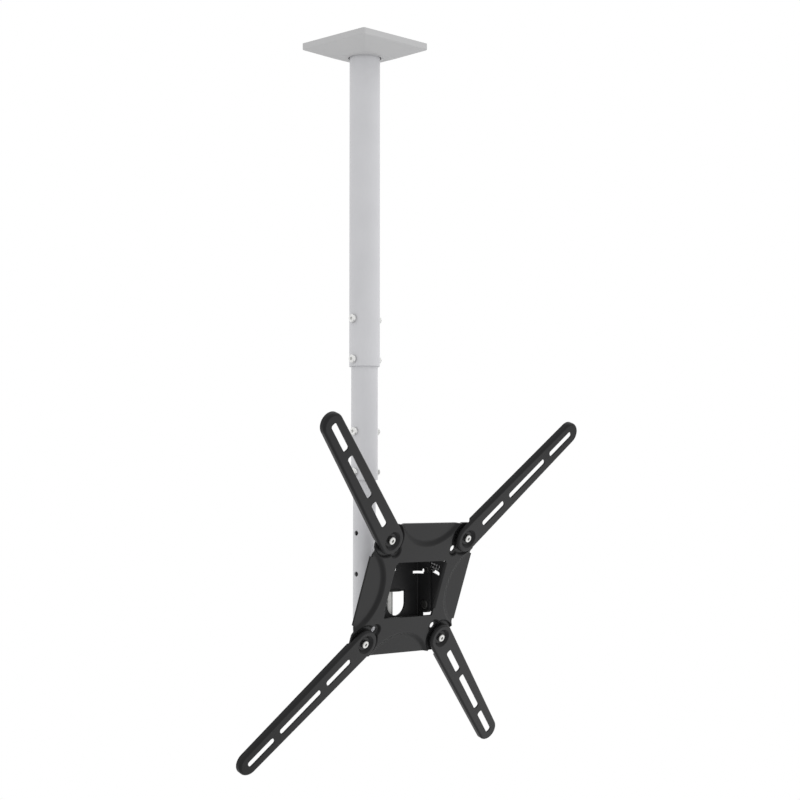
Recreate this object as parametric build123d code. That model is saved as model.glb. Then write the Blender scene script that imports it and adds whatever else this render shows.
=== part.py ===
from build123d import *
import os
from math import asin, cos, radians, sin

# Ceiling mount for a television: a three-stage telescopic pole, a swivelling and
# tilting yoke, and a pressed plate with four slotted arms. Millimetres.
# Origin: centre of the ceiling face. +Z up, +X right, the screen faces -Y.

# Pole: three round tubes that slide in one another, held by clamp screws
inner_tube_d = 28.0
tube_wall = 2.0
slide_gap = 0.5
outer_tube_bottom = 404.5
middle_tube_bottom = 544.5
inner_tube_bottom = 740.5
tube_overlap = 105.0
clamp_pitch = 50.0
outer_clamp_rise = 9.0
middle_clamp_rise = 10.0
index_hole_d = 6.2
index_hole_rise = 81.0
cap_lip = 2.5
cap_plug = 12.0
cap_play = 0.1

# Ceiling plate and the square cover that hides it
ceiling_plate_t = 4.0
ceiling_hole_pitch = 70.0
ceiling_hole_d = 9.0
cover_side = 111.5
cover_plate_gap = 2.0
cover_rim = 7.8
cover_drop = 11.0
cover_flat = 56.0
cover_wall = 2.0
cover_corner = 3.0
cover_soft = 1.5
cover_pole_gap = 1.7
cover_rib_w = 8.0
cover_rib_h = 3.0
cover_rib_play = 0.2

# Yoke: one bent sheet that swivels on a bolt between two lugs of the inner tube
sheet = 2.5
bend_in = 1.0
swivel_reach = 41.0
swivel_web = 11.0
lug_t = 4.0
lug_play = 0.5
swivel_washer_t = 1.0
weld_gap = 0.05
spacer_d = 12.0
upper_tab_z = -679.1
lower_tab_z = -718.5
tab_half = 15.8
d_hole_bottom = -707.8
yoke_top_z = -639.5
tilt_reach = 12.5
tilt_z = -695.8
flange_front = 8.0
flange_low = 9.5
flange_step = 7.5
relief_h = 3.0
relief_z = -656.8
relief_web = 10.5
relief_flange = 10.0
relief_end_d = 5.2
sight_hole_d = 5.0
sight_hole_z = -652.3

# Tilt: 20 degrees forward at rest, locked by a bolt in an arc slot of each ear
tilt_rest = 20.0
tilt_travel = 20.0
tilt_slot_margin = 2.0
tilt_slot_play = 0.3
tilt_glide_t = 0.75
tilt_washer_d = 10.5
tilt_head_h = 2.4
lock_radius = 42.3
lock_angle = 85.5
ear_back = 33.0
ear_top = 33.0
ear_lock_low = 6.0
ear_lock_high = 22.0
ear_shoulder = 24.0

# Pressed plate, in its own frame: x right, y up, z towards the screen,
# with z = 0 on the front of the arms
plate_half = 83.0
plate_tab = 3.0
plate_tab_half = 43.0
plate_z = -8.0
press_h = 3.0
pivot_half = 65.0
window_w = 82.0
window_h = 71.0
window_corner = 1.0
scallop_side = 113.0
scallop_end = 115.0
scallop_r = 53.2
scallop_slope = 40.0
dish_r = 19.5
dish_slope = 70.0
press_runout = 6.0
vesa_pitch = 100.0
vesa_hole_d = 8.0
vesa_seat_r = 5.2
tilt_behind = 17.2
tilt_below = 26.2

# Arms: pressed channels with three screw slots, pivoted in a dimple
arm_sheet = 2.0
arm_depth = 7.5
arm_bend = 3.0
arm_pivot_r = 17.4
arm_tip_r = 14.4
arm_reach = 193.6
arm_hub_depth = 4.0
arm_flange_start = 13.0
arm_flange_full = 17.0
dimple_r = 11.5
dimple_floor_r = 8.0
dimple_depth = 3.4
dimple_soft = 1.2
slot_w = 8.2
slot_corner = 3.0
slot_starts = (26.6, 76.9, 154.3)
slot_ends = (66.3, 143.9, 195.8)
arm_spread = 45.0

# Fasteners: M6 screws and nuts, M4 tilt lock bolts, one M8 swivel bolt
m6_d = 6.0
m6_head_d = 10.5
m6_head_h = 4.0
m6_flat = 10.0
m6_nut_h = 5.0
m6_washer_d = 12.0
m6_washer_t = 1.2
low_head_d = 9.5
low_head_h = 2.2
lock_washer_d = 9.0
m4_d = 4.0
m4_head_d = 7.0
m4_head_h = 1.6
m4_flat = 7.0
m4_nut_h = 3.2
m4_washer_d = 8.5
m8_d = 8.0
m8_flat = 13.0
m8_head_h = 5.3
m8_nut_h = 6.5
m8_washer_d = 16.0
m8_washer_t = 1.6
thread_end = 2.5
jam_stud = 8.5
pin_play = 0.05
tip_gap = 0.3

# Sizes that follow from the ones above
middle_tube_d = inner_tube_d + 2 * (tube_wall + slide_gap)
outer_tube_d = middle_tube_d + 2 * (tube_wall + slide_gap)
bend_out = bend_in + sheet
web_back = -(swivel_reach + swivel_web)
web_front = web_back - sheet
tilt_y = web_front - tilt_reach
ear_inner = window_w / 2
flange_outer = ear_inner - tilt_glide_t
flange_inner = flange_outer - sheet
friction_t = -plate_z - dimple_depth - arm_sheet
ceiling_plate_side = cover_side - 2 * (cover_wall + cover_plate_gap)
plate_back = plate_z - sheet
plate_top_z = plate_z + press_h

# The screen frame, turned forward about the tilt axis
tilt = radians(tilt_rest)
forward = (0, -cos(tilt), -sin(tilt))
upward = (0, -sin(tilt), cos(tilt))
screen_y = tilt_y + tilt_behind * forward[1] + tilt_below * upward[1]
screen_z = tilt_z + tilt_behind * forward[2] + tilt_below * upward[2]
screen = Plane(origin=(0, screen_y, screen_z), x_dir=(1, 0, 0), z_dir=forward)

nodes = {}


# Fasteners, each along its own +Z with its seat at z = 0
def socket_screw(d, length, head_d, head_h):
    """Domed screw: head above z = 0 with a hexagon socket, shank below."""
    head = extrude(Circle(head_d / 2), head_h)
    head = fillet(head.edges().group_by(Axis.Z)[-1], head_h * 0.45)
    socket = extrude(RegularPolygon(d / 3, 6), head_h)
    shank = extrude(Circle(d / 2), -length)
    return head + shank - Pos(0, 0, head_h * 0.45) * socket


def hex_bolt(d, length, flat, head_h):
    """Hexagon bolt: head above z = 0, shank below."""
    head = extrude(RegularPolygon(flat / 2, 6, major_radius=False), head_h)
    return head + extrude(Circle(d / 2), -length)


def hex_nut(d, flat, height):
    """Plain nut from z = 0 upwards."""
    return extrude(RegularPolygon(flat / 2, 6, major_radius=False) - Circle(d / 2 + pin_play), height)


def washer(d, outer_d, thickness):
    """Flat washer from z = 0 upwards."""
    return extrude(Circle(outer_d / 2) - Circle(d / 2 + pin_play), thickness)


# Pole tubes with their clamp screws
def tube(outer_d, top, bottom):
    """Round tube between two depths below the ceiling."""
    ring = Circle(outer_d / 2) - Circle(outer_d / 2 - tube_wall)
    return Pos(0, 0, -bottom) * extrude(ring, bottom - top)


def cross_holes(hole_d, depths):
    """Round cutters along X, right through a tube."""
    span = 2 * outer_tube_d
    cutter = Rot(0, 90, 0) * Cylinder(hole_d / 2, span)
    return [Pos(0, 0, -depth) * cutter for depth in depths]


def clamp_set(tube_d, depths):
    """Clamp screws on -X, and set screws with jam nuts on +X, for one tube."""
    radius = tube_d / 2
    grip = tube_wall + slide_gap - tip_gap
    clamp = socket_screw(m6_d, grip, m6_head_d, m6_head_h)
    stud = Pos(0, 0, -grip) * extrude(Circle(m6_d / 2), grip + jam_stud)
    nut = hex_nut(m6_d, m6_flat, m6_nut_h)
    left = [Plane(origin=(-radius, 0, -z), z_dir=(-1, 0, 0)) for z in depths]
    right = [Plane(origin=(radius, 0, -z), z_dir=(1, 0, 0)) for z in depths]
    return [p * clamp for p in left], [p * stud for p in right], [p * nut for p in right]


outer_clamps = [outer_tube_bottom - outer_clamp_rise - clamp_pitch * i for i in range(2)]
middle_clamps = [middle_tube_bottom - middle_clamp_rise - clamp_pitch * i for i in range(2)]
index_holes = [inner_tube_bottom - index_hole_rise - clamp_pitch * i for i in range(2)]
thread_hole_d = m6_d + 2 * pin_play

outer_tube = tube(outer_tube_d, ceiling_plate_t, outer_tube_bottom)
middle_tube = tube(middle_tube_d, outer_tube_bottom - tube_overlap, middle_tube_bottom)
inner_tube = tube(inner_tube_d, middle_tube_bottom - tube_overlap, inner_tube_bottom)
nodes["outer_tube"] = outer_tube - cross_holes(thread_hole_d, outer_clamps)
nodes["middle_tube"] = middle_tube - cross_holes(thread_hole_d, middle_clamps)
nodes["inner_tube"] = inner_tube - cross_holes(index_hole_d, index_holes)
stages = {"outer": (outer_tube_d, outer_clamps), "middle": (middle_tube_d, middle_clamps)}
for stage, (tube_d, depths) in stages.items():
    screws, studs, nuts = clamp_set(tube_d, depths)
    nodes[stage + "_clamp_screws"] = screws
    nodes[stage + "_set_screws"] = studs
    nodes[stage + "_jam_nuts"] = nuts

# Plastic cap that closes the inner tube
cap = extrude(Circle(inner_tube_d / 2), -cap_lip) + extrude(
    Circle(inner_tube_d / 2 - tube_wall - cap_play), cap_plug)
nodes["tube_end_cap"] = Pos(0, 0, -inner_tube_bottom) * cap

# Ceiling plate with its four screw holes
plate_blank = RectangleRounded(ceiling_plate_side, ceiling_plate_side, 2 * cover_corner)
hole_grid = GridLocations(ceiling_hole_pitch, ceiling_hole_pitch, 2, 2)
nodes["ceiling_plate"] = extrude(plate_blank - hole_grid * Circle(ceiling_hole_d / 2), -ceiling_plate_t)


# Square cover: a rim and a shallow truncated pyramid, open at the ceiling
def cover_form(side, rim, flat, drop, corner):
    """Rim from z = 0 down, then a loft to the small flat."""
    edge = RectangleRounded(side, side, corner)
    foot = RectangleRounded(flat, flat, corner)
    return extrude(edge, -rim) + loft([Pos(0, 0, -rim) * edge, Pos(0, 0, -rim - drop) * foot])


cover_outer = cover_form(cover_side, cover_rim, cover_flat, cover_drop, cover_corner)
rim_edges = cover_outer.edges().filter_by_position(Axis.Z, -cover_rim - 0.01, -cover_rim + 0.01)
cover_outer = fillet(rim_edges, cover_soft)
foot_edges = cover_outer.edges().group_by(Axis.Z)[0]
cover_outer = fillet(foot_edges, cover_soft)
cover_inner = cover_form(
    cover_side - 2 * cover_wall, cover_rim - cover_wall / 2, cover_flat - cover_wall,
    cover_drop - cover_wall / 2, cover_corner - cover_wall / 2)
pole_hole = Circle(outer_tube_d / 2 + cover_pole_gap)
cover = cover_outer - cover_inner - extrude(pole_hole, -cover_side)
rib_reach = cover_plate_gap - cover_rib_play
rib_centre = cover_side / 2 - cover_wall - rib_reach / 2
rib = Pos(rib_centre, 0, -cover_rib_h / 2) * Box(rib_reach, cover_rib_w, cover_rib_h)
for turn in range(4):
    for shift in (-1, 1):
        cover += Rot(0, 0, 90 * turn) * Pos(0, shift * ceiling_hole_pitch / 2, 0) * rib
nodes["ceiling_cover"] = cover


# Swivel lugs, welded to the front of the inner tube
def lug(z):
    """Flat lug with a round end about the swivel bolt and a saddle on the tube."""
    end_r = swivel_web - lug_play
    bar = Pos(0, -swivel_reach / 2) * Rectangle(2 * end_r, swivel_reach)
    face = bar + Pos(0, -swivel_reach) * Circle(end_r)
    face -= Circle(inner_tube_d / 2 + weld_gap)
    face -= Pos(0, -swivel_reach) * Circle(m8_d / 2 + pin_play)
    return Pos(0, 0, z) * extrude(face, lug_t)


upper_lug_z = upper_tab_z + sheet + swivel_washer_t
lower_lug_z = lower_tab_z - swivel_washer_t - lug_t
nodes["upper_swivel_lug"] = lug(upper_lug_z)
nodes["lower_swivel_lug"] = lug(lower_lug_z)

swivel_axis = Pos(0, -swivel_reach, 0)
bolt_seat = upper_lug_z + lug_t + m8_washer_t
nut_seat = lower_lug_z - m8_washer_t - m8_nut_h
bolt_length = bolt_seat - nut_seat + thread_end
flat_washer = washer(m8_d, m8_washer_d, m8_washer_t)
friction_ring = washer(m8_d, 2 * (swivel_web - lug_play) - 1, swivel_washer_t)
nodes["swivel_bolt"] = swivel_axis * Pos(0, 0, bolt_seat) * hex_bolt(m8_d, bolt_length, m8_flat, m8_head_h)
spacer_h = upper_tab_z - lower_tab_z - sheet
spacer = washer(m8_d, spacer_d, spacer_h)
nodes["swivel_spacer"] = swivel_axis * Pos(0, 0, lower_tab_z + sheet) * spacer
nodes["swivel_nut"] = swivel_axis * Pos(0, 0, nut_seat) * hex_nut(m8_d, m8_flat, m8_nut_h)
outside_lugs = (upper_lug_z + lug_t, lower_lug_z - m8_washer_t)
inside_lugs = (upper_tab_z + sheet, lower_tab_z - swivel_washer_t)
nodes["swivel_flat_washers"] = [swivel_axis * Pos(0, 0, z) * flat_washer for z in outside_lugs]
nodes["swivel_friction_washers"] = [swivel_axis * Pos(0, 0, z) * friction_ring for z in inside_lugs]


# Yoke: web, two forward flanges and two tabs bent back to the swivel bolt
def bent_tab(z):
    """Round-ended tab, underside at z, bent back out of the web."""
    centre_y = web_front + bend_out
    centre_z = z + bend_out
    ring = Circle(bend_out) - Circle(bend_in)
    quarter = ring & Pos(-bend_out / 2, -bend_out / 2) * Rectangle(bend_out, bend_out)
    section = Plane(origin=(0, centre_y, centre_z), x_dir=(0, 1, 0), z_dir=(1, 0, 0))
    bend = extrude(section * quarter, tab_half, both=True)
    run = -swivel_reach - centre_y
    flat = Pos(0, centre_y + run / 2) * Rectangle(2 * tab_half, run)
    flat += Pos(0, -swivel_reach) * Circle(tab_half)
    flat -= Pos(0, -swivel_reach) * Circle(m8_d / 2 + pin_play)
    return bend + Pos(0, 0, z) * extrude(flat, sheet)


def lock_point():
    """Row (y, z) of the tilt lock bolt."""
    angle = radians(lock_angle)
    return tilt_y - lock_radius * cos(angle), tilt_z + lock_radius * sin(angle)


def yoke():
    """U-shaped sheet, trimmed to the flange outline, with its holes and tabs."""
    front = tilt_y - flange_front
    web_bottom = lower_tab_z + bend_out
    height = yoke_top_z - web_bottom

    def channel(half, back, corner):
        depth = back - 2 * front
        face = Pos(0, back - depth / 2) * Rectangle(2 * half, depth)
        return fillet(face.vertices().group_by(Axis.Y)[-1], corner)

    u_face = channel(flange_outer, web_back, bend_out) - channel(flange_inner, web_front, bend_in)
    body = Pos(0, 0, web_bottom) * extrude(u_face, height)

    side = Plane(origin=(0, 0, 0), x_dir=(0, 1, 0), z_dir=(1, 0, 0))
    step_y = web_front - flange_step
    slope = flange_front * 0.7
    low_z = tilt_z - flange_low
    turn_z = low_z + flange_front
    trim = Polyline(
        (web_back, yoke_top_z), (front + slope, yoke_top_z), (front, yoke_top_z - slope), (front, turn_z))
    trim += RadiusArc((front, turn_z), (tilt_y, low_z), -flange_front)
    trim += Polyline(
        (tilt_y, low_z), (step_y, low_z), (step_y, web_bottom), (web_back, web_bottom),
        (web_back, yoke_top_z))
    body &= extrude(side * make_face(trim), 2 * ear_inner, both=True)

    across = Rot(0, 90, 0)
    body -= Pos(0, tilt_y, tilt_z) * across * Cylinder(m6_d / 2 + pin_play, 4 * ear_inner)
    body -= Pos(0, *lock_point()) * across * Cylinder(m4_d / 2 + pin_play, 4 * ear_inner)

    d_centre = d_hole_bottom + tab_half
    d_straight = upper_tab_z + bend_out - d_centre
    d_face = Pos(0, d_centre + d_straight / 2) * Rectangle(2 * tab_half, d_straight)
    d_face += Pos(0, d_centre) * Circle(tab_half)
    d_face += Pos(0, sight_hole_z) * Circle(sight_hole_d / 2)
    web_plane = Plane(origin=(0, web_front, 0), x_dir=(1, 0, 0), z_dir=(0, -1, 0))
    body -= extrude(web_plane * d_face, bend_out, both=True)

    low_corner = (Align.MIN, Align.MIN, Align.CENTER)
    notch = Box(relief_web + sheet, relief_flange + 2 * sheet, relief_h, align=low_corner)
    notch = Pos(flange_outer - relief_web, web_front - relief_flange, relief_z) * notch
    body = body - notch - mirror(notch, Plane.YZ)
    end_y = web_front - relief_flange + sheet / 2
    body -= Pos(0, end_y, relief_z + relief_h * 0.75) * across * Cylinder(relief_end_d / 2, 4 * ear_inner)
    return body + bent_tab(upper_tab_z) + bent_tab(lower_tab_z)


nodes["yoke"] = yoke()

# Tilt pivot and lock bolts on either side: low head inside the flange, nut outside the ear
tilt_seat = ear_inner + sheet
m6_grip = tilt_seat - flange_inner + m6_washer_t + m6_nut_h + thread_end
m4_grip = tilt_seat - flange_inner + m6_washer_t + m4_nut_h + thread_end
pivot_set = (
    socket_screw(m6_d, m6_grip, tilt_washer_d, tilt_head_h), hex_nut(m6_d, m6_flat, m6_nut_h),
    washer(m6_d, tilt_washer_d, m6_washer_t), washer(m6_d, tilt_washer_d, tilt_glide_t))
lock_set = (
    socket_screw(m4_d, m4_grip, m4_head_d, m4_head_h), hex_nut(m4_d, m4_flat, m4_nut_h),
    washer(m4_d, m4_washer_d, m6_washer_t), washer(m4_d, m4_washer_d, tilt_glide_t))
tilt_places = {"tilt_pivot": (tilt_y, tilt_z, pivot_set), "tilt_lock": (*lock_point(), lock_set)}
nodes["tilt_friction_washers"] = []
for name, (y, z, (bolt, nut, steel_washer, glide_washer)) in tilt_places.items():
    outward = [Plane(origin=(0, y, z), x_dir=(0, 0, 1), z_dir=(side, 0, 0)) for side in (-1, 1)]
    bolt_in = Pos(0, 0, flange_inner) * Rot(180, 0, 0) * bolt
    nodes[name + "_bolts"] = [p * bolt_in for p in outward]
    nodes[name + "_nuts"] = [p * Pos(0, 0, tilt_seat + m6_washer_t) * nut for p in outward]
    nodes[name + "_washers"] = [p * Pos(0, 0, tilt_seat) * steel_washer for p in outward]
    nodes["tilt_friction_washers"] += [p * Pos(0, 0, flange_outer) * glide_washer for p in outward]


# Pressed plate: a raised cross between four scallops and four pivot dishes
def press_cutter(floor_r, slope):
    """Round sunk field: flat floor, then a wall of two tangent arcs up to the raised face."""
    lean = radians(slope)
    leave = radians(press_runout)
    arc_r = press_h / (1 - 2 * cos(lean) + cos(leave))
    foot = (floor_r, plate_z)
    knee = (floor_r + arc_r * sin(lean), plate_z + arc_r * (1 - cos(lean)))
    rim_r = knee[0] + arc_r * (sin(lean) - sin(leave))
    rim = (rim_r, plate_top_z)
    above = plate_top_z + press_h
    wall = Line((0, plate_z), foot) + RadiusArc(foot, knee, -arc_r) + RadiusArc(knee, rim, arc_r)
    wall += Polyline(rim, (rim_r, above), (0, above), (0, plate_z))
    return revolve(Plane.XZ * make_face(wall), Axis.Z)


def pressed_block(margin):
    """Solid under the pressed front face, its outline grown by margin."""
    side = 2 * (plate_half + margin)
    outline = RectangleRounded(side, side, plate_half - pivot_half + margin)
    outline += Rectangle(side + 2 * plate_tab, 2 * (plate_tab_half + margin))
    block = Pos(0, 0, plate_top_z) * extrude(outline, -4 * press_h)
    scallop = press_cutter(scallop_r, scallop_slope)
    dish = press_cutter(dish_r, dish_slope)
    seat = press_cutter(vesa_seat_r, dish_slope)
    cutters = [Pos(way * scallop_side, 0) * scallop for way in (-1, 1)]
    cutters += [Pos(0, way * scallop_end) * scallop for way in (-1, 1)]
    cutters += [loc * dish for loc in GridLocations(2 * pivot_half, 2 * pivot_half, 2, 2)]
    cutters += [loc * seat for loc in GridLocations(vesa_pitch, vesa_pitch, 2, 2)]
    return block - cutters


def ear_outline():
    """Ear seen from the side, as (z, y) of the plate frame turned to (x, y)."""
    front = plate_top_z - bend_out
    lobe_r = flange_low
    low = (-tilt_behind - lobe_r, -tilt_below)
    path = Polyline(
        low, (-ear_back, ear_lock_low), (-ear_back, ear_lock_high), (-ear_shoulder, ear_top),
        (front, ear_top), (front, -tilt_below), low)
    face = make_face(path)
    corners = [v for v in face.vertices() if v.X < front - 1 and v.Y > -tilt_below + 1]
    return fillet(corners, 4.0) + Pos(-tilt_behind, -tilt_below) * Circle(lobe_r)


def arc_slot():
    """Curved slot about the tilt axis, from the lock bolt forward."""
    half = m4_d / 2 + tilt_slot_play
    centre_line = CenterArc((0, 0), lock_radius, lock_angle + tilt_rest, -tilt_travel - tilt_slot_margin)
    return Pos(-tilt_behind, -tilt_below) * SlotArc(centre_line, 2 * half)


def ear(side):
    """Ear bent back from the window's side, with its pivot hole and arc slot."""
    front = plate_top_z - bend_out
    centre_x = ear_inner + bend_out
    ring = Circle(bend_out) - Circle(bend_in)
    quarter = ring & Pos(-bend_out / 2, bend_out / 2) * Rectangle(bend_out, bend_out)
    section = Plane(origin=(centre_x, 0, front), x_dir=(1, 0, 0), z_dir=(0, -1, 0)) * quarter
    bend = Pos(0, (ear_top - tilt_below) / 2, 0) * extrude(section, (ear_top + tilt_below) / 2, both=True)
    flat_plane = Plane(origin=(ear_inner, 0, 0), x_dir=(0, 0, 1), z_dir=(1, 0, 0))
    flat_face = ear_outline() - arc_slot() - Pos(-tilt_behind, -tilt_below) * Circle(m6_d / 2 + pin_play)
    shape = bend + extrude(flat_plane * mirror(flat_face, Plane.XZ), sheet)
    return mirror(shape, Plane.YZ) if side < 0 else shape


def vesa_plate():
    """Pressed sheet with window, ears and holes, in the plate frame."""
    body = pressed_block(0) - Pos(0, 0, -sheet) * pressed_block(2.0)
    window = RectangleRounded(window_w, window_h, window_corner)
    ear_slot_h = ear_top + tilt_below
    window += Pos(0, (ear_top - tilt_below) / 2) * Rectangle(window_w + 2 * bend_out, ear_slot_h)
    holes = GridLocations(vesa_pitch, vesa_pitch, 2, 2) * Circle(vesa_hole_d / 2)
    holes += GridLocations(2 * pivot_half, 2 * pivot_half, 2, 2) * Circle(m6_d / 2 + pin_play)
    body -= extrude(Pos(0, 0, plate_back) * (window + holes), 4 * press_h, both=True)
    return body + ear(-1) + ear(1)


nodes["vesa_plate"] = screen * vesa_plate()


# Arm: pressed channel along +x from its pivot, front face on z = 0
def arm_blank(inset):
    """Outline of two circles and their common tangents, shrunk by inset."""
    big = arm_pivot_r - inset
    small = arm_tip_r - inset
    lean = asin((big - small) / arm_reach)
    up = (sin(lean), cos(lean))
    a = (big * up[0], big * up[1])
    b = (arm_reach + small * up[0], small * up[1])
    edge = Line(a, b) + ThreePointArc(b, (arm_reach + small, 0), (b[0], -b[1]))
    edge += Line((b[0], -b[1]), (a[0], -a[1])) + ThreePointArc((a[0], -a[1]), (-big, 0), a)
    return make_face(edge)


def arm():
    """Channel with a bent rim, a dimpled pivot and three slots."""
    outer = extrude(arm_blank(0), -arm_depth)
    outer = fillet(outer.edges().group_by(Axis.Z)[-1], arm_bend)
    inner = Pos(0, 0, -arm_sheet) * extrude(arm_blank(arm_sheet), -arm_depth)
    inner = fillet(inner.edges().group_by(Axis.Z)[-1], arm_bend - arm_sheet)
    body = outer - inner

    back = -2 * arm_pivot_r
    below = -2 * arm_depth
    trim = Polyline(
        (back, -arm_hub_depth), (arm_flange_start, -arm_hub_depth), (arm_flange_full, -arm_depth),
        (arm_flange_full, below), (back, below), (back, -arm_hub_depth))
    body -= extrude(Plane.XZ * make_face(trim), 2 * arm_pivot_r, both=True)

    upright = (Align.CENTER, Align.CENTER, Align.MIN)
    cup = Cone(dimple_floor_r + arm_sheet, dimple_r + arm_sheet, dimple_depth, align=upright)
    body += Pos(0, 0, -dimple_depth - arm_sheet) * cup
    body -= Pos(0, 0, -dimple_depth) * Cone(dimple_floor_r, dimple_r, dimple_depth, align=upright)
    rim = body.edges().filter_by(GeomType.CIRCLE).filter_by_position(Axis.Z, -0.01, 0.01)
    body = fillet([e for e in rim if abs(e.radius - dimple_r) < 0.01], dimple_soft)
    body -= Cylinder(m6_d / 2 + pin_play, 4 * arm_depth)
    for start, end in zip(slot_starts, slot_ends):
        slot = RectangleRounded(end - start, slot_w, slot_corner)
        body -= Pos((start + end) / 2, 0, 0) * extrude(slot, 2 * arm_sheet, both=True)
    return body


one_arm = arm()
arm_names = {
    "arm_top_right": (1, 1, arm_spread), "arm_top_left": (-1, 1, 180 - arm_spread),
    "arm_bottom_left": (-1, -1, 180 + arm_spread), "arm_bottom_right": (1, -1, -arm_spread)}
for name, (right, top, angle) in arm_names.items():
    place = Pos(right * pivot_half, top * pivot_half, 0) * Rot(0, 0, angle)
    nodes[name] = screen * (place * one_arm)

# Arm pivots: screw in the dimple, friction washer, steel washer and nut
dimple_floor_z = -dimple_depth
pivot_length = dimple_floor_z + m6_washer_t - plate_back + m6_washer_t + m6_nut_h + thread_end
pivot_bolt = socket_screw(m6_d, pivot_length, low_head_d, low_head_h)
pivot_parts = {
    "arm_pivot_bolts": (dimple_floor_z + m6_washer_t, pivot_bolt),
    "arm_pivot_washers": (dimple_floor_z, washer(m6_d, lock_washer_d, m6_washer_t)),
    "arm_friction_washers": (plate_z, washer(m6_d, 2 * dimple_floor_r, friction_t)),
    "arm_back_washers": (plate_back - m6_washer_t, washer(m6_d, m6_washer_d, m6_washer_t)),
    "arm_pivot_nuts": (plate_back - m6_washer_t - m6_nut_h, hex_nut(m6_d, m6_flat, m6_nut_h))}
for name, (z, piece) in pivot_parts.items():
    corners = GridLocations(2 * pivot_half, 2 * pivot_half, 2, 2)
    nodes[name] = [screen * (corner * Pos(0, 0, z) * piece) for corner in corners]

os.makedirs("parts", exist_ok=True)
for name, shape in nodes.items():
    solid = Compound(children=list(shape)) if isinstance(shape, list) else shape
    export_step(solid, f"parts/{name}.step")
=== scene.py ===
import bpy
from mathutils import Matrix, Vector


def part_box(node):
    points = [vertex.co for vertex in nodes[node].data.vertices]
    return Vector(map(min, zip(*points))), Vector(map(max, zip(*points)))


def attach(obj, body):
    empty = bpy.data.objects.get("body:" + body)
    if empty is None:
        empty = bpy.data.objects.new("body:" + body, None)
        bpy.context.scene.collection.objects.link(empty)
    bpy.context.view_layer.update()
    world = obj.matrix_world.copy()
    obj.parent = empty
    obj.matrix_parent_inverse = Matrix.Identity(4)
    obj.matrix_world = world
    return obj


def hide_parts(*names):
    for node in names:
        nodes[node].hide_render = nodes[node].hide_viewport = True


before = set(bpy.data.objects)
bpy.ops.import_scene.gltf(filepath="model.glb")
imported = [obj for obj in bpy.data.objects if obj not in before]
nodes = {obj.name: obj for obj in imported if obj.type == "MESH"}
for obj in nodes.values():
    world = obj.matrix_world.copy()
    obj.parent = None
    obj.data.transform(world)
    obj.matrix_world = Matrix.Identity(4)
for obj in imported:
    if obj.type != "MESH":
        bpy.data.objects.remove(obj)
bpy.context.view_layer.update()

import math

import bpy
import numpy as np
from mathutils import Vector

# Pole: satin light-grey paint on drawn tube. Very fine grain, and a slow drift in
# tone along the tube that keeps the long plain cylinders from looking flat.
paint = bpy.data.materials.new("grey_satin_paint")
paint.use_nodes = True
tree = paint.node_tree
shader = tree.nodes["Principled BSDF"]
place = tree.nodes.new("ShaderNodeTexCoord")
drift = tree.nodes.new("ShaderNodeTexNoise")
drift.inputs["Scale"].default_value = 22.0
drift.inputs["Detail"].default_value = 3.0
tint = tree.nodes.new("ShaderNodeValToRGB")
tint.color_ramp.elements[0].position = 0.3
tint.color_ramp.elements[0].color = (0.576, 0.577, 0.596, 1)
tint.color_ramp.elements[1].position = 0.7
tint.color_ramp.elements[1].color = (0.606, 0.607, 0.626, 1)
gloss = tree.nodes.new("ShaderNodeMapRange")
gloss.inputs["To Min"].default_value = 0.36
gloss.inputs["To Max"].default_value = 0.46
grain = tree.nodes.new("ShaderNodeTexNoise")
grain.inputs["Scale"].default_value = 1500.0
grain.inputs["Detail"].default_value = 2.0
soft = tree.nodes.new("ShaderNodeBevel")
soft.samples = 6
soft.inputs["Radius"].default_value = 0.0005
bump = tree.nodes.new("ShaderNodeBump")
bump.inputs["Strength"].default_value = 0.05
bump.inputs["Distance"].default_value = 0.0003
tree.links.new(place.outputs["Object"], drift.inputs["Vector"])
tree.links.new(place.outputs["Object"], grain.inputs["Vector"])
tree.links.new(drift.outputs["Fac"], tint.inputs["Fac"])
tree.links.new(drift.outputs["Fac"], gloss.inputs["Value"])
tree.links.new(tint.outputs["Color"], shader.inputs["Base Color"])
tree.links.new(gloss.outputs["Result"], shader.inputs["Roughness"])
tree.links.new(grain.outputs["Fac"], bump.inputs["Height"])
tree.links.new(soft.outputs["Normal"], bump.inputs["Normal"])
tree.links.new(bump.outputs["Normal"], shader.inputs["Normal"])
for name in (
    "outer_tube", "middle_tube", "inner_tube",
    "upper_swivel_lug", "lower_swivel_lug", "ceiling_plate",
):
    nodes[name].material_slots[0].material = paint


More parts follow.
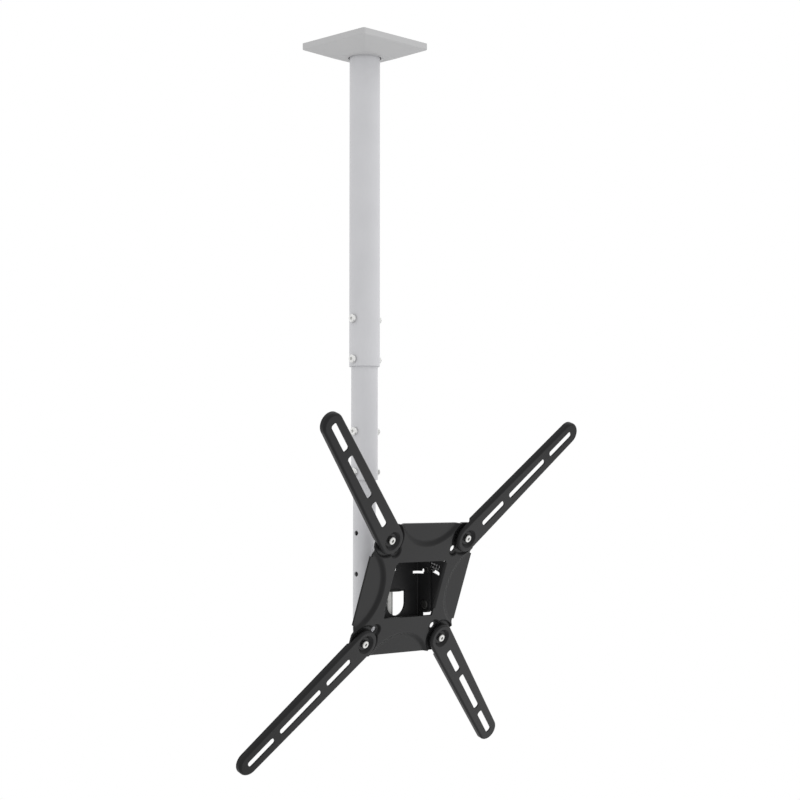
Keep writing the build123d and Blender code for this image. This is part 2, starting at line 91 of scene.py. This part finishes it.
# Weld beads: one run above and below each swivel lug where it meets the inner tube, and a
# full ring where the outer tube meets the ceiling plate. Painted over with the pole.
def weld_bead(radius, height, half_angle, thickness):
    """Round bead about the pole's axis, centred on its front. The section's radius swells and
    shrinks with every ripple. A full ring joins its last section to its first. A shorter bead
    tapers off in the last tenth at each end and closes with a fan of triangles."""
    ripple_length, sections, sides = 0.0016, 6, 12
    ripples = round(2 * half_angle * radius / ripple_length)
    share = np.linspace(-1, 1, sections * ripples + 1)
    full = half_angle >= np.pi
    share = share[:-1] if full else share
    side = np.linspace(0, 2 * np.pi, sides + 1)[:-1]
    taper = 1 if full else np.clip((1 - np.abs(share)) / 0.1, 0.02, 1) ** 0.5
    swell = (thickness * taper * (1 + 0.07 * np.cos(ripples * np.pi * share)))[:, None]
    angle = (half_angle * share)[:, None]
    out, rise = radius + swell * np.cos(side), height + swell * np.sin(side)
    points = np.stack([out * np.sin(angle), -out * np.cos(angle), rise], -1).reshape(-1, 3)
    spans = len(share) if full else len(share) - 1
    ring, step = np.meshgrid(np.arange(spans), np.arange(sides), indexing="ij")
    a, b = ring * sides + step, ring * sides + (step + 1) % sides
    total = sides * len(share)
    faces = np.stack([a, (a + sides) % total, (b + sides) % total, b], -1).reshape(-1, 4).tolist()
    if not full:
        aside, ahead = radius * np.sin(half_angle), -radius * np.cos(half_angle)
        points = np.vstack([points, (-aside, ahead, height), (aside, ahead, height)])
        first, last = np.full(sides, total), np.full(sides, total + 1)
        faces += np.stack([first, a[0], b[0]], -1).tolist()
        faces += np.stack([a[-1] + sides, last, b[-1] + sides], -1).tolist()
    return points, faces


tube_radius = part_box("inner_tube")[1].x
lug_half = math.asin(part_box("upper_swivel_lug")[1].x / tube_radius)
lugs = ("upper_swivel_lug", "lower_swivel_lug")
levels = [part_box(lug)[end].z for lug in lugs for end in (0, 1)]
lug_beads = [(tube_radius, level, 0.94 * lug_half, 0.0011) for level in levels]
plate_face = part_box("ceiling_plate")[0].z
ceiling_bead = (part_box("outer_tube")[1].x, plate_face, math.pi, 0.0015)
for name, body, beads in (
    ("lug_welds", "inner_stage", lug_beads),
    ("ceiling_weld", "ceiling_stage", [ceiling_bead]),
):
    points, faces = [], []
    for bead in beads:
        more, loops = weld_bead(*bead)
        faces += [[corner + len(points) for corner in loop] for loop in loops]
        points += more.tolist()
    mesh = bpy.data.meshes.new(name)
    mesh.from_pydata(points, [], faces)
    mesh.materials.append(paint)
    mesh.shade_smooth()
    weld = bpy.data.objects.new(name, mesh)
    bpy.context.collection.objects.link(weld)
    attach(weld, body)

# Cover: matt light-grey moulded plastic with a spark-eroded texture, a little duller
# than the paint.
moulded = bpy.data.materials.new("grey_moulded_plastic")
moulded.use_nodes = True
tree = moulded.node_tree
shader = tree.nodes["Principled BSDF"]
place = tree.nodes.new("ShaderNodeTexCoord")
flow = tree.nodes.new("ShaderNodeTexNoise")
flow.inputs["Scale"].default_value = 30.0
flow.inputs["Detail"].default_value = 3.0
tint = tree.nodes.new("ShaderNodeValToRGB")
tint.color_ramp.elements[0].color = (0.470, 0.470, 0.474, 1)
tint.color_ramp.elements[1].color = (0.505, 0.505, 0.509, 1)
gloss = tree.nodes.new("ShaderNodeMapRange")
gloss.inputs["To Min"].default_value = 0.50
gloss.inputs["To Max"].default_value = 0.60
spark = tree.nodes.new("ShaderNodeTexNoise")
spark.inputs["Scale"].default_value = 900.0
spark.inputs["Detail"].default_value = 3.0
bump = tree.nodes.new("ShaderNodeBump")
bump.inputs["Strength"].default_value = 0.10
bump.inputs["Distance"].default_value = 0.0003
tree.links.new(place.outputs["Object"], flow.inputs["Vector"])
tree.links.new(place.outputs["Object"], spark.inputs["Vector"])
tree.links.new(flow.outputs["Fac"], tint.inputs["Fac"])
tree.links.new(flow.outputs["Fac"], gloss.inputs["Value"])
tree.links.new(tint.outputs["Color"], shader.inputs["Base Color"])
tree.links.new(gloss.outputs["Result"], shader.inputs["Roughness"])
tree.links.new(spark.outputs["Fac"], bump.inputs["Height"])
tree.links.new(bump.outputs["Normal"], shader.inputs["Normal"])
nodes["ceiling_cover"].material_slots[0].material = moulded

# Pole screws: the clamp screws, set screws and jam nuts are bright zinc, near white where they
# mirror the surroundings, with a faint cloudiness and fine turned scratches.
bright = bpy.data.materials.new("bright_zinc")
bright.use_nodes = True
tree = bright.node_tree
shader = tree.nodes["Principled BSDF"]
shader.inputs["Metallic"].default_value = 1.0
place = tree.nodes.new("ShaderNodeTexCoord")
cloud = tree.nodes.new("ShaderNodeTexNoise")
cloud.inputs["Scale"].default_value = 260.0
cloud.inputs["Detail"].default_value = 5.0
tint = tree.nodes.new("ShaderNodeValToRGB")
tint.color_ramp.elements[0].position = 0.3
tint.color_ramp.elements[0].color = (0.68, 0.68, 0.67, 1)
tint.color_ramp.elements[1].position = 0.7
tint.color_ramp.elements[1].color = (0.80, 0.80, 0.79, 1)
gloss = tree.nodes.new("ShaderNodeMapRange")
gloss.inputs["To Min"].default_value = 0.18
gloss.inputs["To Max"].default_value = 0.30
scratch = tree.nodes.new("ShaderNodeTexNoise")
scratch.inputs["Scale"].default_value = 2400.0
soft = tree.nodes.new("ShaderNodeBevel")
soft.samples = 6
soft.inputs["Radius"].default_value = 0.0004
bump = tree.nodes.new("ShaderNodeBump")
bump.inputs["Strength"].default_value = 0.06
bump.inputs["Distance"].default_value = 0.0002
tree.links.new(place.outputs["Object"], cloud.inputs["Vector"])
tree.links.new(place.outputs["Object"], scratch.inputs["Vector"])
tree.links.new(cloud.outputs["Fac"], tint.inputs["Fac"])
tree.links.new(cloud.outputs["Fac"], gloss.inputs["Value"])
tree.links.new(tint.outputs["Color"], shader.inputs["Base Color"])
tree.links.new(gloss.outputs["Result"], shader.inputs["Roughness"])
tree.links.new(scratch.outputs["Fac"], bump.inputs["Height"])
tree.links.new(soft.outputs["Normal"], bump.inputs["Normal"])
tree.links.new(bump.outputs["Normal"], shader.inputs["Normal"])
for name in ("clamp_screws", "set_screws", "jam_nuts"):
    nodes["outer_" + name].material_slots[0].material = bright
    nodes["middle_" + name].material_slots[0].material = bright


# Set screws: headless M6 screws with a hexagon socket, cut with a real 1 mm thread that
# shows above the jam nuts. They stand in the threaded holes on the pole's right side.
def threaded_bar(start, length, radius, pitch):
    """Bar along +x from start. Its radius falls from the crest by a triangle wave of height
    minus turn, so the groove climbs one pitch a turn. Both ends are chamfered, and the outer
    end has a hexagon socket: rings at the hexagon's radius, flush and then sunk. A fan of
    triangles to the axis closes the inner end and the socket's floor."""
    sides, rings_per_pitch = 48, 10
    turn = np.linspace(0, 2 * np.pi, sides + 1)[:-1]
    along = np.linspace(0, length, int(rings_per_pitch * length / pitch) + 1)
    height, angle = np.meshgrid(along, turn, indexing="ij")
    wave = np.abs(2 * ((height / pitch - angle / (2 * np.pi)) % 1) - 1)
    to_end = np.minimum(height, length - height)
    reach = radius - np.maximum(0.6 * pitch * wave, 0.7 * pitch - to_end)
    hexagon = 0.5 * radius * np.cos(np.pi / 6) / np.cos(turn % (np.pi / 3) - np.pi / 6)
    floor = length - 0.8 * radius
    reach = np.vstack([reach, hexagon, hexagon])
    height = np.vstack([height, np.full(sides, length), np.full(sides, floor)])
    points = np.stack([height, reach * np.cos(turn), reach * np.sin(turn)], -1).reshape(-1, 3)
    points = np.vstack([points, (0, 0, 0), (floor, 0, 0)]) + np.asarray(start)
    ring, step = np.meshgrid(np.arange(len(reach) - 1), np.arange(sides), indexing="ij")
    a, b = ring * sides + step, ring * sides + (step + 1) % sides
    quads = np.stack([a, b, b + sides, a + sides], -1).reshape(-1, 4)
    inner, outer = np.full(sides, len(points) - 2), np.full(sides, len(points) - 1)
    inner_fan = np.stack([inner, b[0], a[0]], -1)
    socket_fan = np.stack([a[-1] + sides, b[-1] + sides, outer], -1)
    return points, quads, np.vstack([inner_fan, socket_fan])


thread_pitch = 0.001
for stage, body in (("outer", "ceiling_stage"), ("middle", "middle_stage")):
    low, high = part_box(stage + "_set_screws")
    radius = (high.y - low.y) / 2
    points, quads, fans = threaded_bar(
        (low.x, 0, low.z + radius), high.x - low.x, radius, thread_pitch)
    upper_points, upper_quads, upper_fans = threaded_bar(
        (low.x, 0, high.z - radius), high.x - low.x, radius, thread_pitch)
    shift = len(points)
    faces = np.vstack([quads, upper_quads + shift]).tolist()
    faces += np.vstack([fans, upper_fans + shift]).tolist()
    mesh = bpy.data.meshes.new(stage + "_thread")
    mesh.from_pydata(np.vstack([points, upper_points]).tolist(), [], faces)
    mesh.materials.append(bright)
    screws = bpy.data.objects.new(stage + "_threaded_screws", mesh)
    bpy.context.collection.objects.link(screws)
    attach(screws, body)
    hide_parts(stage + "_set_screws")

# End cap: the plug in the lower end of the inner tube, black moulded plastic with a
# fine grain.
plug = bpy.data.materials.new("black_moulded_plastic")
plug.use_nodes = True
tree = plug.node_tree
shader = tree.nodes["Principled BSDF"]
shader.inputs["Roughness"].default_value = 0.55
place = tree.nodes.new("ShaderNodeTexCoord")
grain = tree.nodes.new("ShaderNodeTexNoise")
grain.inputs["Scale"].default_value = 700.0
tint = tree.nodes.new("ShaderNodeValToRGB")
tint.color_ramp.elements[0].color = (0.016, 0.016, 0.017, 1)
tint.color_ramp.elements[1].color = (0.026, 0.026, 0.027, 1)
bump = tree.nodes.new("ShaderNodeBump")
bump.inputs["Strength"].default_value = 0.15
bump.inputs["Distance"].default_value = 0.0003
tree.links.new(place.outputs["Object"], grain.inputs["Vector"])
tree.links.new(grain.outputs["Fac"], tint.inputs["Fac"])
tree.links.new(grain.outputs["Fac"], bump.inputs["Height"])
tree.links.new(tint.outputs["Color"], shader.inputs["Base Color"])
tree.links.new(bump.outputs["Normal"], shader.inputs["Normal"])
nodes["tube_end_cap"].material_slots[0].material = plug

# Swivel, tilt and arm fasteners: dull zinc plating, cloudy in tone and gloss, with fine turned
# scratches. They hold the yoke to the pole, the plate to the yoke and the arms to the plate.
zinc = bpy.data.materials.new("dull_zinc")
zinc.use_nodes = True
tree = zinc.node_tree
shader = tree.nodes["Principled BSDF"]
shader.inputs["Metallic"].default_value = 1.0
place = tree.nodes.new("ShaderNodeTexCoord")
cloud = tree.nodes.new("ShaderNodeTexNoise")
cloud.inputs["Scale"].default_value = 260.0
cloud.inputs["Detail"].default_value = 5.0
tint = tree.nodes.new("ShaderNodeValToRGB")
tint.color_ramp.elements[0].position = 0.3
tint.color_ramp.elements[0].color = (0.34, 0.34, 0.33, 1)
tint.color_ramp.elements[1].position = 0.7
tint.color_ramp.elements[1].color = (0.46, 0.46, 0.45, 1)
gloss = tree.nodes.new("ShaderNodeMapRange")
gloss.inputs["To Min"].default_value = 0.24
gloss.inputs["To Max"].default_value = 0.40
scratch = tree.nodes.new("ShaderNodeTexNoise")
scratch.inputs["Scale"].default_value = 2400.0
soft = tree.nodes.new("ShaderNodeBevel")
soft.samples = 6
soft.inputs["Radius"].default_value = 0.0004
bump = tree.nodes.new("ShaderNodeBump")
bump.inputs["Strength"].default_value = 0.06
bump.inputs["Distance"].default_value = 0.0002
tree.links.new(place.outputs["Object"], cloud.inputs["Vector"])
tree.links.new(place.outputs["Object"], scratch.inputs["Vector"])
tree.links.new(cloud.outputs["Fac"], tint.inputs["Fac"])
tree.links.new(cloud.outputs["Fac"], gloss.inputs["Value"])
tree.links.new(tint.outputs["Color"], shader.inputs["Base Color"])
tree.links.new(gloss.outputs["Result"], shader.inputs["Roughness"])
tree.links.new(scratch.outputs["Fac"], bump.inputs["Height"])
tree.links.new(soft.outputs["Normal"], bump.inputs["Normal"])
tree.links.new(bump.outputs["Normal"], shader.inputs["Normal"])
for name in (
    "swivel_bolt", "swivel_nut", "swivel_flat_washers", "swivel_spacer",
    "tilt_pivot_nuts", "tilt_pivot_washers", "tilt_lock_nuts", "tilt_lock_washers",
    "arm_pivot_bolts", "arm_pivot_nuts", "arm_pivot_washers", "arm_back_washers",
):
    nodes[name].material_slots[0].material = zinc

# Friction washers: between the pieces that turn on each other at the swivel, the tilt and
# the arms. Natural nylon, slightly translucent, with a mottled tone.
nylon = bpy.data.materials.new("natural_nylon")
nylon.use_nodes = True
tree = nylon.node_tree
shader = tree.nodes["Principled BSDF"]
shader.inputs["Subsurface Weight"].default_value = 0.2
shader.inputs["Subsurface Radius"].default_value = (0.001, 0.001, 0.0008)
shader.inputs["Roughness"].default_value = 0.45
place = tree.nodes.new("ShaderNodeTexCoord")
mottle = tree.nodes.new("ShaderNodeTexNoise")
mottle.inputs["Scale"].default_value = 300.0
tint = tree.nodes.new("ShaderNodeValToRGB")
tint.color_ramp.elements[0].color = (0.66, 0.65, 0.60, 1)
tint.color_ramp.elements[1].color = (0.78, 0.77, 0.72, 1)
tree.links.new(place.outputs["Object"], mottle.inputs["Vector"])
tree.links.new(mottle.outputs["Fac"], tint.inputs["Fac"])
tree.links.new(tint.outputs["Color"], shader.inputs["Base Color"])
for name in ("swivel_friction_washers", "tilt_friction_washers", "arm_friction_washers"):
    nodes[name].material_slots[0].material = nylon

# Plate, arms and yoke: black powder coat on pressed steel. A fine orange-peel bump,
# a faint cloudiness in colour and gloss, and edges rounded by the thickness of the coat.
coat = bpy.data.materials.new("black_powder_coat")
coat.use_nodes = True
tree = coat.node_tree
shader = tree.nodes["Principled BSDF"]
shader.inputs["Specular IOR Level"].default_value = 0.15
place = tree.nodes.new("ShaderNodeTexCoord")
cloud = tree.nodes.new("ShaderNodeTexNoise")
cloud.inputs["Scale"].default_value = 38.0
cloud.inputs["Detail"].default_value = 4.0
tint = tree.nodes.new("ShaderNodeValToRGB")
tint.color_ramp.elements[0].position = 0.3
tint.color_ramp.elements[0].color = (0.0120, 0.0120, 0.0125, 1)
tint.color_ramp.elements[1].position = 0.7
tint.color_ramp.elements[1].color = (0.0150, 0.0150, 0.0156, 1)
gloss = tree.nodes.new("ShaderNodeMapRange")
gloss.inputs["To Min"].default_value = 0.34
gloss.inputs["To Max"].default_value = 0.42
peel = tree.nodes.new("ShaderNodeTexNoise")
peel.inputs["Scale"].default_value = 1100.0
peel.inputs["Detail"].default_value = 2.0
soft = tree.nodes.new("ShaderNodeBevel")
soft.samples = 6
soft.inputs["Radius"].default_value = 0.0003
bump = tree.nodes.new("ShaderNodeBump")
bump.inputs["Strength"].default_value = 0.10
bump.inputs["Distance"].default_value = 0.0004
tree.links.new(place.outputs["Object"], cloud.inputs["Vector"])
tree.links.new(place.outputs["Object"], peel.inputs["Vector"])
tree.links.new(cloud.outputs["Fac"], tint.inputs["Fac"])
tree.links.new(cloud.outputs["Fac"], gloss.inputs["Value"])
tree.links.new(tint.outputs["Color"], shader.inputs["Base Color"])
tree.links.new(gloss.outputs["Result"], shader.inputs["Roughness"])
tree.links.new(peel.outputs["Fac"], bump.inputs["Height"])
tree.links.new(soft.outputs["Normal"], bump.inputs["Normal"])
tree.links.new(bump.outputs["Normal"], shader.inputs["Normal"])
for name in (
    "vesa_plate", "yoke",
    "arm_top_left", "arm_top_right", "arm_bottom_left", "arm_bottom_right",
):
    nodes[name].material_slots[0].material = coat

# Tilt bolts: chemically blackened steel with low round heads inside the yoke's flanges.
# Dull black, a little browner and smoother than the powder coat.
blackened = bpy.data.materials.new("blackened_steel")
blackened.use_nodes = True
tree = blackened.node_tree
shader = tree.nodes["Principled BSDF"]
shader.inputs["Metallic"].default_value = 0.6
place = tree.nodes.new("ShaderNodeTexCoord")
bloom = tree.nodes.new("ShaderNodeTexNoise")
bloom.inputs["Scale"].default_value = 400.0
tint = tree.nodes.new("ShaderNodeValToRGB")
tint.color_ramp.elements[0].color = (0.020, 0.019, 0.018, 1)
tint.color_ramp.elements[1].color = (0.045, 0.044, 0.043, 1)
gloss = tree.nodes.new("ShaderNodeMapRange")
gloss.inputs["To Min"].default_value = 0.30
gloss.inputs["To Max"].default_value = 0.42
tree.links.new(place.outputs["Object"], bloom.inputs["Vector"])
tree.links.new(bloom.outputs["Fac"], tint.inputs["Fac"])
tree.links.new(bloom.outputs["Fac"], gloss.inputs["Value"])
tree.links.new(tint.outputs["Color"], shader.inputs["Base Color"])
tree.links.new(gloss.outputs["Result"], shader.inputs["Roughness"])
for name in ("tilt_pivot_bolts", "tilt_lock_bolts"):
    nodes[name].material_slots[0].material = blackened

# Tilt scale: degrees printed in white on the inner face of each ear, above its arc slot.
# A tick every 2.5 degrees, a longer one with its number every 5.
ink = bpy.data.materials.new("white_print")
ink.use_nodes = True
tree = ink.node_tree
shader = tree.nodes["Principled BSDF"]
shader.inputs["Roughness"].default_value = 0.5
place = tree.nodes.new("ShaderNodeTexCoord")
worn = tree.nodes.new("ShaderNodeTexNoise")
worn.inputs["Scale"].default_value = 1200.0
tint = tree.nodes.new("ShaderNodeValToRGB")
tint.color_ramp.elements[0].color = (0.55, 0.55, 0.55, 1)
tint.color_ramp.elements[1].color = (0.85, 0.85, 0.85, 1)
tree.links.new(place.outputs["Object"], worn.inputs["Vector"])
tree.links.new(worn.outputs["Fac"], tint.inputs["Fac"])
tree.links.new(tint.outputs["Color"], shader.inputs["Base Color"])
shown_tilt = math.radians(20)
ahead = np.array([0, -math.cos(shown_tilt), -math.sin(shown_tilt)])
above = np.array([0, -math.sin(shown_tilt), math.cos(shown_tilt)])
ear_face, zero_angle = 0.04096, 85.5
tick_half, tick_foot, short_tip, long_tip = 0.00016, 0.0456, 0.0474, 0.0486
number_foot, number_size = 0.0497, 0.0032
pivot = (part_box("tilt_pivot_bolts")[0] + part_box("tilt_pivot_bolts")[1]) / 2
for label, side in (("left", -1), ("right", 1)):
    axis = np.array([side * ear_face, pivot.y, pivot.z])
    points, polygons, count = [], [], 0
    for degrees in np.arange(0, 20.1, 2.5):
        angle = math.radians(zero_angle + degrees)
        radial = math.cos(angle) * ahead + math.sin(angle) * above
        across = side * (math.sin(angle) * ahead - math.cos(angle) * above)
        tip = long_tip if degrees % 5 == 0 else short_tip
        left, right = -tick_half, tick_half
        tick = [[left, tick_foot], [right, tick_foot], [right, tip], [left, tip]]
        outlines = [(np.array(tick), [[0, 1, 2, 3]])]
        if degrees % 5 == 0 and degrees < 20:
            letter = bpy.data.curves.new("number", "FONT")
            letter.body = str(int(degrees))
            letter.size = number_size
            letter.align_x = "CENTER"
            carrier = bpy.data.objects.new("number", letter)
            number = bpy.data.meshes.new_from_object(carrier)
            shape = np.empty(3 * len(number.vertices))
            number.vertices.foreach_get("co", shape)
            shape = shape.reshape(-1, 3)[:, :2] + (0, number_foot)
            outlines.append((shape, [list(face.vertices) for face in number.polygons]))
            bpy.data.objects.remove(carrier)
        for shape, loops in outlines:
            points.append(axis + shape[:, :1] * across + shape[:, 1:] * radial)
            polygons += [[corner + count for corner in loop] for loop in loops]
            count += len(shape)
    mesh = bpy.data.meshes.new("scale_" + label)
    mesh.from_pydata(np.vstack(points).tolist(), [], polygons)
    mesh.materials.append(ink)
    scale = bpy.data.objects.new("tilt_scale_" + label, mesh)
    bpy.context.collection.objects.link(scale)
    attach(scale, "screen_plate")

# Floor: a pale disc well below the hanging mount, so the photograph's view looks over it.
floor_radius, floor_level, corners = 2.0, -1.35, 96
turn = np.linspace(0, 2 * np.pi, corners + 1)[:-1]
rim = np.column_stack(
    [floor_radius * np.cos(turn), floor_radius * np.sin(turn), np.full(corners, floor_level)])
sheet = bpy.data.meshes.new("floor")
sheet.from_pydata(rim.tolist(), [], [list(range(corners))])
floor = bpy.data.objects.new("floor", sheet)
bpy.context.collection.objects.link(floor)
pale = bpy.data.materials.new("pale_floor")
pale.use_nodes = True
tree = pale.node_tree
shader = tree.nodes["Principled BSDF"]
shader.inputs["Roughness"].default_value = 0.8
place = tree.nodes.new("ShaderNodeTexCoord")
patch = tree.nodes.new("ShaderNodeTexNoise")
patch.inputs["Scale"].default_value = 3.0
tint = tree.nodes.new("ShaderNodeValToRGB")
tint.color_ramp.elements[0].color = (0.86, 0.86, 0.86, 1)
tint.color_ramp.elements[1].color = (0.90, 0.90, 0.90, 1)
tree.links.new(place.outputs["Object"], patch.inputs["Vector"])
tree.links.new(patch.outputs["Fac"], tint.inputs["Fac"])
tree.links.new(tint.outputs["Color"], shader.inputs["Base Color"])
floor.data.materials.append(pale)

# Surroundings: plain white where the camera sees them, directly or in a reflection, and a
# slightly dimmer white light tent for the light that falls on the mount.
world = bpy.data.worlds.new("studio")
bpy.context.scene.world = world
world.use_nodes = True
tree = world.node_tree
tree.nodes.clear()
output = tree.nodes.new("ShaderNodeOutputWorld")
seen = tree.nodes.new("ShaderNodeBackground")
seen.inputs["Color"].default_value = (1, 1, 1, 1)
tent = tree.nodes.new("ShaderNodeBackground")
tent.inputs["Color"].default_value = (1, 1, 1, 1)
tent.inputs["Strength"].default_value = 0.92
path = tree.nodes.new("ShaderNodeLightPath")
pick = tree.nodes.new("ShaderNodeMixShader")
shown = tree.nodes.new("ShaderNodeMath")
shown.operation = "MAXIMUM"
mirrored = tree.nodes.new("ShaderNodeMath")
mirrored.operation = "MAXIMUM"
tree.links.new(path.outputs["Is Glossy Ray"], mirrored.inputs[0])
tree.links.new(path.outputs["Is Transmission Ray"], mirrored.inputs[1])
tree.links.new(path.outputs["Is Camera Ray"], shown.inputs[0])
tree.links.new(mirrored.outputs["Value"], shown.inputs[1])
tree.links.new(shown.outputs["Value"], pick.inputs["Fac"])
tree.links.new(tent.outputs["Background"], pick.inputs[1])
tree.links.new(seen.outputs["Background"], pick.inputs[2])
tree.links.new(pick.outputs["Shader"], output.inputs["Surface"])

# Lights: the white tent does most of it. A soft lamp low on the right lies where the plate's
# flat faces mirror the camera, so they shine and the pressed slopes stay dark. One large soft
# lamp above the front adds the shadow on the floor.
lit_point = (0, -0.05, -0.65)
for label, spot, energy, size, spread in (
    ("sheen", (0.533, -0.458, -1.0575), 0.45, 0.62, 100),
    ("overhead", (1.3, -1.1, 1.5), 9.0, 1.4, 180),
):
    lamp = bpy.data.lights.new(label, "AREA")
    lamp.energy = energy
    lamp.size = size
    lamp.spread = math.radians(spread)
    light = bpy.data.objects.new(label, lamp)
    light.location = spot
    toward = Vector(lit_point) - Vector(spot)
    light.rotation_euler = toward.to_track_quat("-Z", "Y").to_euler()
    light.visible_camera = False
    bpy.context.collection.objects.link(light)

# Camera: as in the photograph, from the front left, a little below the middle, looking up
# 3 degrees.
lens = bpy.data.cameras.new("camera")
lens.lens = 77.85
lens.sensor_width = 36.0
camera = bpy.data.objects.new("camera", lens)
camera.location = (-1.487, -1.532, -0.5575)
rise = math.radians(3.0)
aim = Vector((0.711 * math.cos(rise), 0.703 * math.cos(rise), math.sin(rise)))
camera.rotation_euler = aim.to_track_quat("-Z", "Y").to_euler()
bpy.context.collection.objects.link(camera)
bpy.context.scene.camera = camera
bpy.context.scene.view_settings.view_transform = "Standard"
